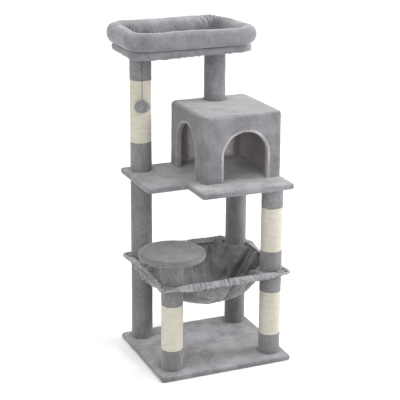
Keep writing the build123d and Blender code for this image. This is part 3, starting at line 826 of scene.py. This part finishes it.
def arch_path(side, step=4 * MM, sink=0.0):
    """A doorway's edge as points (across, up), from one foot over the top to the other."""
    half = ARCH_HALF
    low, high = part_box(f"{side}_arch_trim")
    trim_half = max(high[0] - low[0], high[1] - low[1]) / 2
    spring = high[2] - low[2] - trim_half
    rise = [(-half, z) for z in np.arange(-sink, spring, step)]
    turns = np.linspace(np.pi, 0, round(np.pi * half / step))
    over = [(half * math.cos(t), spring + half * math.sin(t)) for t in turns]
    return np.array(rise + over + [(-x, z) for x, z in reversed(rise)])


def in_doorway(side, across, up, depth=0.0):
    """A place in a doorway, from its middle, the platform and the face of its wall."""
    if side == "front":
        return FRONT_ARCH_X + across, HOUSE_LOW[1] + depth, FLOOR + up
    return HOUSE_LOW[0] + depth, LEFT_ARCH_Y - across, FLOOR + up


def arch_cutter(side):
    """A solid through one wall, in the shape of its doorway."""
    path = arch_path(side, sink=20 * MM)
    verts = [in_doorway(side, *at, depth) for depth in (-30 * MM, 30 * MM) for at in path]
    cutter = new_piece(side, verts, block_faces(len(path)), PLUSH)
    mesh = bmesh.new()
    mesh.from_mesh(cutter.data)
    bmesh.ops.recalc_face_normals(mesh, faces=mesh.faces)
    mesh.to_mesh(cutter.data)
    mesh.free()
    return cutter


def cut(piece, cutters):
    """Take solids away from a piece, and delete them."""
    for cutter in cutters:
        boolean = piece.modifiers.new("cut", "BOOLEAN")
        boolean.operation, boolean.solver, boolean.object = "DIFFERENCE", "EXACT", cutter
    apply_modifiers(piece)
    for cutter in cutters:
        bpy.data.objects.remove(cutter)


def house_block(name, inset, bottom, top, radius, edge, material=HOUSE_PLUSH):
    outline = box_outline(HOUSE_LOW + inset, HOUSE_HIGH - inset, radius)
    return prism(name, outline, bottom, top, material, bevel=edge)


def make_house():
    """The house's plush, walls and roof in one, and its lining, both cut through at the doorways."""
    top = ROOF_TOP
    shell = house_block("house_plush", 0, FLOOR - 14 * MM, top, 24 * MM, 13 * MM)
    cut(shell, [house_block("inner", 9 * MM, FLOOR - 24 * MM, top - 9 * MM, 15 * MM, 5 * MM),
                *map(arch_cutter, DOORWAYS)])
    remesh(shell, 3.6 * MM, smooth=3)
    points = coordinates(shell)
    push = rough(points, (1.2, 110), (0.35, 12, 5.0), (0.2, 6, 7.0))
    push += rough(points * (1, 1, 0.6), (0.6, 40, 1.3))
    raise_by(shell, np.maximum(push + 0.7 * MM, -0.8 * MM))
    press_posts(shell, top, [post_axis("bed_right_post")[:2]])
    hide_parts("house_wall_cover", "house_roof_cover")

    lining = house_block("house_lining_cloth", 8.3 * MM, FLOOR - 6 * MM, top - 10 * MM, 16 * MM, 3 * MM,
                         LINING_PLUSH)
    cut(lining, [house_block("inner", WALL_FULL, FLOOR - 20 * MM, top - 19.5 * MM, 7 * MM, 3 * MM),
                 *map(arch_cutter, DOORWAYS)])
    remesh(lining, 4 * MM, smooth=2)
    ruffle(lining, (0.5, 50), (0.3, 14))
    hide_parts("house_lining")


def make_trims():
    """The bindings folded over the edges of the doorways."""
    section = rounded_section(-1.2 * MM, 9 * MM, -1.9 * MM, WALL_FULL + 1.5 * MM, 5)
    for side in DOORWAYS:
        path = arch_path(side, step=3 * MM)
        ahead = open_directions(path)
        away = np.stack([-ahead[:, 1], ahead[:, 0]], axis=1)
        at = [in_doorway(side, a, z) for a, z in path]
        if side == "front":
            axes = [(np.array((a, 0, z)), np.array((0, 1, 0))) for a, z in away]
        else:
            axes = [(np.array((0, -a, z)), np.array((1, 0, 0))) for a, z in away]
        piece = tube_along(f"{side}_arch_binding", at, axes, section, BINDING)
        remesh(piece, 1.8 * MM, smooth=2)
        ruffle(piece, (0.5, 14), (0.8, 6), (0.5, 3.5))
        keep_above(piece, FLOOR)
        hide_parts(f"{side}_arch_trim")


def make_roof_seams():
    """The sewn ridge along the left and right edges of the roof, running off round the front corners."""
    drop, inset, radius = 3.9 * MM, 4.0 * MM, 20 * MM
    height = ROOF_TOP - drop
    section = rounded_section(-1.7 * MM, 1.7 * MM, -1.7 * MM, 1.7 * MM, 2, 10)
    back, front = HOUSE_HIGH[1] - 24 * MM, HOUSE_LOW[1] + inset + radius
    for name, sign, edge in (("left", -1, HOUSE_LOW[0] + inset), ("right", 1, HOUSE_HIGH[0] - inset)):
        straight = [(edge, y, height) for y in np.arange(back, front, -5 * MM)]
        bend = [(edge - sign * radius * (1 - math.cos(t)), front - radius * math.sin(t),
                 height - 5 * MM * (1 - math.cos(t))) for t in np.linspace(0, np.pi / 2, 10)]
        x, y, z = bend[-1]
        fade = [(x - sign * d, y - 1.2 * MM + d * 0.05, z - d * 0.12)
                for d in np.arange(4 * MM, 30 * MM, 5 * MM)]
        path = np.array(straight + bend + fade)
        axes = []
        for ahead in open_directions(path):
            side = np.cross(ahead, (0, 0, 1.0))
            side /= np.linalg.norm(side)
            axes.append((side, np.cross(side, ahead)))
        piece = tube_along(f"roof_seam_{name}", path, axes, section, BINDING)
        ruffle(piece, (0.5, 9), (0.3, 4))


# ---------------------------------------------------------------- hammock
CLOTH_Z = 338 * MM            # the middle of the cloth's thickness, where posts clamp it
GATHER = 0.32                 # how much longer the cloth is than the frame it hangs in
CLOTH_EDGE = 8 * MM           # from the outside of the hem in to the cloth's edge
EYELET_R, EYELET_HOLE_R = 4.5 * MM, 3.1 * MM
EYELET_LOW, EYELET_HIGH = box("hammock_eyelets")
EYELETS = [(x, y) for x in (EYELET_LOW[0] + EYELET_R, EYELET_HIGH[0] - EYELET_R)
           for y in (EYELET_LOW[1] + EYELET_R, EYELET_HIGH[1] - EYELET_R)]
# Each pulled fold: its place across the folds in metres, its height and its width in millimetres
SIDE_FOLDS = [(0.145, -7, 9), (0.118, 14, 6.5), (0.1, -7, 5), (0.08, 14, 6.5), (0.062, -7, 5),
              (0.042, 14, 7), (0.012, -6, 9), (-0.026, 10, 10)]
BACK_FOLDS = [(0.07, 11, 13), (0.107, -11, 10), (0.145, 10, 13), (0.03, -8, 12), (-0.02, 8, 16)]


def from_eyelets(points):
    """How far each point is from the nearest eyelet, in plan."""
    return np.min([np.hypot(points[:, 0] - x, points[:, 1] - y) for x, y in EYELETS], axis=0)


def rim_lift(points):
    """How far the hem stands above or hangs below the frame: raised along the back, flat at the corners."""
    rear = smooth_step(points[:, 1], 0.02, 0.19)
    return (11 * MM * rear - 1.5 * MM) * smooth_step(from_eyelets(points), 26 * MM, 84 * MM)


def pulled_folds(across, folds):
    return sum(height * MM * bell(across - at, width * MM) for at, height, width in folds)


def crease_cloth(cloth):
    """Pleats below the hem, and the long pulled folds that run down from the right and the back."""
    points = coordinates(cloth)
    x, y, depth = points[:, 0], points[:, 1], CLOTH_Z - points[:, 2]
    low, high = HEM_LOW[:2], HEM_HIGH[:2]
    along_x = np.minimum(y - low[1], high[1] - y) < np.minimum(x - low[0], high[0] - x)
    run = np.where(along_x, x, y + 1.1) + 0.35 * depth + rough(points, (6, 50))
    below = smooth_step(depth, 2 * MM, 14 * MM) * bell(depth, 52 * MM)
    pleats = (ridges(run, 8, 13 * MM, 30 * MM) - 0.6) * (0.75 + 0.45 * lumps(points, 70 * MM, 4.0))
    clear = smooth_step(depth, 2 * MM, 16 * MM)
    push = 11 * MM * below * pleats
    push += smooth_step(x, 0.05, 0.13) * clear * pulled_folds(y - 0.38 * (x - 0.24), SIDE_FOLDS)
    push += smooth_step(y, 0.06, 0.14) * clear * pulled_folds(x - 0.25 * (y - 0.2), BACK_FOLDS)
    raise_by(cloth, push * smooth_step(from_eyelets(points), 16 * MM, 45 * MM))


def make_hammock():
    """The hammock's cloth: wider than its frame, held along the hem and under the posts, and let fall."""
    low, high = HEM_LOW[:2] + CLOTH_EDGE, HEM_HIGH[:2] - CLOTH_EDGE
    columns, rows = 68, 60
    xs, ys = np.linspace(low[0], high[0], columns), np.linspace(low[1], high[1], rows)
    grid = np.array([(x, y) for y in ys for x in xs])
    held = np.zeros(len(grid))
    rim = np.minimum(np.minimum(grid[:, 0] - low[0], high[0] - grid[:, 0]),
                     np.minimum(grid[:, 1] - low[1], high[1] - grid[:, 1]))
    on_rim = rim < 1 * MM
    held[on_rim] = 1
    for x, y in CORNERS:
        held[np.hypot(grid[:, 0] - x, grid[:, 1] - y) < SLEEVE_R + 4 * MM] = 1
    held[from_eyelets(grid) < 17 * MM] = 1
    start = np.column_stack([grid, np.full(len(grid), CLOTH_Z)])
    start[on_rim, 2] += rim_lift(grid[on_rim])
    free = held < 1
    start[free, 2] -= 3 * MM + 2.5 * MM * lumps(start[free], 26 * MM)
    cloth = new_piece("hammock_sling", start, band_faces(rows, columns, closed_columns=False),
                      HAMMOCK_PLUSH)
    settle(cloth, held)
    cloth.modifiers.new("fine", "SUBSURF").render_levels = 1
    cloth.modifiers["fine"].levels = 1
    apply_modifiers(cloth)
    crease_cloth(cloth)
    ruffle(cloth, (0.5, 16), (0.4, 7))
    points = coordinates(cloth)
    flat = from_eyelets(points) < 14 * MM
    points[flat, 2] = CLOTH_Z
    move_to(cloth, points)
    thick = cloth.modifiers.new("thick", "SOLIDIFY")
    thick.thickness, thick.offset = 3.4 * MM, 0
    apply_modifiers(cloth)
    hole, low, high = circle(EYELET_HOLE_R, 24), CLOTH_Z - 6 * MM, CLOTH_Z + 6 * MM
    cut(cloth, [prism("hole", hole + at, low, high, HAMMOCK_PLUSH) for at in EYELETS])
    return cloth


CLOTH_SETTINGS = dict(
    quality=8, mass=0.12, tension_stiffness=18, compression_stiffness=18, shear_stiffness=4,
    bending_model="ANGULAR", bending_stiffness=0.35, tension_damping=8, compression_damping=8,
    bending_damping=0.6, air_damping=3, vertex_group_mass="held", pin_stiffness=1.0,
    shrink_min=-GATHER, shrink_max=-GATHER)
SETTLE_FRAMES = 70


def settle(cloth, held):
    """Let the cloth hang from its held points."""
    group = cloth.vertex_groups.new(name="held")
    group.add([int(i) for i in np.nonzero(held)[0]], 1.0, "REPLACE")
    fall = cloth.modifiers.new("cloth", "CLOTH")
    for name, value in CLOTH_SETTINGS.items():
        setattr(fall.settings, name, value)
    fall.collision_settings.use_self_collision = True
    fall.collision_settings.self_distance_min = 2.0 * MM
    fall.collision_settings.use_collision = False
    fall.point_cache.frame_start, fall.point_cache.frame_end = 1, SETTLE_FRAMES
    scene = bpy.context.scene
    for number in range(1, SETTLE_FRAMES + 1):
        scene.frame_set(number)
    depsgraph = bpy.context.evaluated_depsgraph_get()
    shape = np.array([v.co[:] for v in cloth.evaluated_get(depsgraph).data.vertices])
    cloth.modifiers.clear()
    scene.frame_set(1)
    move_to(cloth, shape)


HEM_WIDE, HEM_THICK, HEM_INSET = 27 * MM, 7 * MM, 12 * MM
HEM_LEAN = math.radians(38)


def make_hem():
    """The hammock's hem: a gathered casing, leaning outwards, all round the cloth."""
    path, along = resample(box_outline(HEM_LOW[:2] + HEM_INSET, HEM_HIGH[:2] - HEM_INSET, 16 * MM), 3 * MM)
    ahead, outward = ring_directions(path)
    spots = np.column_stack([path, along * 0])
    corner = from_eyelets(path)
    free, full = smooth_step(corner, 26 * MM, 84 * MM), smooth_step(corner, 20 * MM, 52 * MM)
    rear, left = smooth_step(path[:, 1], 0.02, 0.19), smooth_step(-path[:, 0], 0.16, 0.22)
    wave = rough(spots, (2.2, 60), (1.1, 17, 3.3)) * free
    tilt = (HEM_LEAN - 1.35 * rear + 0.22 * lumps(spots, 75 * MM, 7.7)) * free
    width = (0.44 + 0.56 * full) * (1 + 0.22 * left * full)
    lift = rim_lift(path)
    axes, at = [], []
    for k, (x, y) in enumerate(path):
        out = np.array((*outward[k], 0.0))
        across = out * math.cos(tilt[k]) - np.array((0, 0, math.sin(tilt[k])))
        axes.append((across * width[k], np.cross(across, np.array((*ahead[k], 0.0)))))
        at.append(np.array((x, y, CLOTH_Z + lift[k] + wave[k] * 0.5))
                  + out * (wave[k] * 0.4 + 6 * MM * (1 - full[k])))
    section = rounded_section(-HEM_WIDE / 2, HEM_WIDE / 2, -HEM_THICK / 2, HEM_THICK / 2, 2.6, 18)
    hem = tube_along("hammock_casing", at, axes, section, HEM_PLUSH_PAINTED_LIGHT, closed=True)
    remesh(hem, 2.2 * MM, smooth=2)
    points = coordinates(hem)
    nearest = nearest_on(path, points)
    gathers = ridges(along[nearest] + rough(points, (5, 25)), 3, 7 * MM, 22 * MM) - 0.6
    push = 4.0 * MM * gathers * (0.8 + 0.5 * lumps(points, 60 * MM, 8.0)) + rough(points, (1.2, 11))
    push *= (0.35 + 0.65 * free[nearest]) * (1 + 0.6 * left[nearest])
    raise_by(hem, push + rough(points, (0.7, 5.5, 4.0)))
    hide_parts("hammock_hem")
    return hem


# ---------------------------------------------------------------- pom-pom on its string
# The string's route: its knot, a point six diameters below the loop that it hangs from, and the pom-pom
STRING_ROUTE = [(-0.207, 0.084, 1.0865), (-0.207, 0.084, 1.0745), (-0.207, 0.084, 0.920)]


def make_string():
    curve = bpy.data.curves.new("pom_string", "CURVE")
    curve.dimensions = "3D"
    curve.bevel_depth = radius_of("pom_cord")
    curve.bevel_resolution = 3
    curve.use_fill_caps = True
    spline = curve.splines.new("NURBS")
    spline.points.add(len(STRING_ROUTE) - 1)
    for point, at in zip(spline.points, STRING_ROUTE):
        point.co = (*at, 1)
    spline.order_u = 3
    spline.use_endpoint_u = True
    curve.materials.append(THREAD)
    string = place("pom_string", curve)
    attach(string, "pom")
    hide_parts("pom_cord")
    return string


TUFTS = 1900
GOLDEN_TURN = math.pi * (3 - math.sqrt(5))
TUFT_SECTIONS = [(0.35, 1.5 * MM), (0.75, 1.15 * MM), (0.95, 0.55 * MM)]  # (share of the length, radius)
TUFT_CORNERS = (0, 2.09, 4.19)


def make_tuft(verts, faces, centre, half, out, chance):
    """Add a three-sided tuft of yarn that points outwards and bends a little to one side."""
    side = np.cross(out, (0.3, 0.2, 0.9))
    side /= np.linalg.norm(side)
    other = np.cross(out, side)
    bend = (side * chance.normal(0, 2.2) + other * chance.normal(0, 2.2)) * MM
    long = chance.uniform(0.86, 1.0)
    first = len(verts)
    for share, thick in TUFT_SECTIONS:
        at = centre + out * half * long * share + bend * share * share
        verts.extend(at + side * thick * math.cos(a) + other * thick * math.sin(a) for a in TUFT_CORNERS)
    verts.append(centre + out * half * long + bend)
    tuft = band_faces(3, 3) + [(6 + k, 6 + (k + 1) % 3, 9) for k in range(3)] + [(2, 1, 0)]
    faces.extend(tuple(first + corner for corner in face) for face in tuft)


def make_pom():
    """A ball of yarn tufts, spread evenly round it, over a lumpy core."""
    chance = np.random.default_rng(5)
    centre, half = (POM_LOW + POM_HIGH) / 2, (POM_HIGH - POM_LOW) / 2
    verts, faces = [], []
    for t, z in zip(np.arange(TUFTS) * GOLDEN_TURN, 1 - 2 * (np.arange(TUFTS) + 0.5) / TUFTS):
        out = np.array((math.sqrt(1 - z * z) * math.cos(t), math.sqrt(1 - z * z) * math.sin(t), z))
        out += chance.normal(0, 0.14, 3)
        out /= np.linalg.norm(out)
        make_tuft(verts, faces, centre, half, out, chance)
    yarns = new_piece("pom_yarns", verts, faces, POM_YARN, body="pom")
    sphere = bmesh.new()
    bmesh.ops.create_icosphere(sphere, subdivisions=4, radius=1)
    sphere.verts.index_update()
    faces = [[v.index for v in face.verts] for face in sphere.faces]
    core = new_piece("pom_core", [v.co for v in sphere.verts], faces, POM_YARN, body="pom")
    sphere.free()
    move_to(core, coordinates(core) * half * 0.8 + centre)
    ruffle(core, (1.2, 5))
    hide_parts("pom_pom")
    return [yarns, core]


make_camera()
string = make_string()
pom_pieces = make_pom()
make_light()
make_floor()
finish_cad_nodes()
make_boards()
make_sleeves()
make_sisal()
make_bolster()
make_mat()
make_house()
make_trims()
make_roof_seams()
cloth = make_hammock()
hem = make_hem()
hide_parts("hammock_cloth")
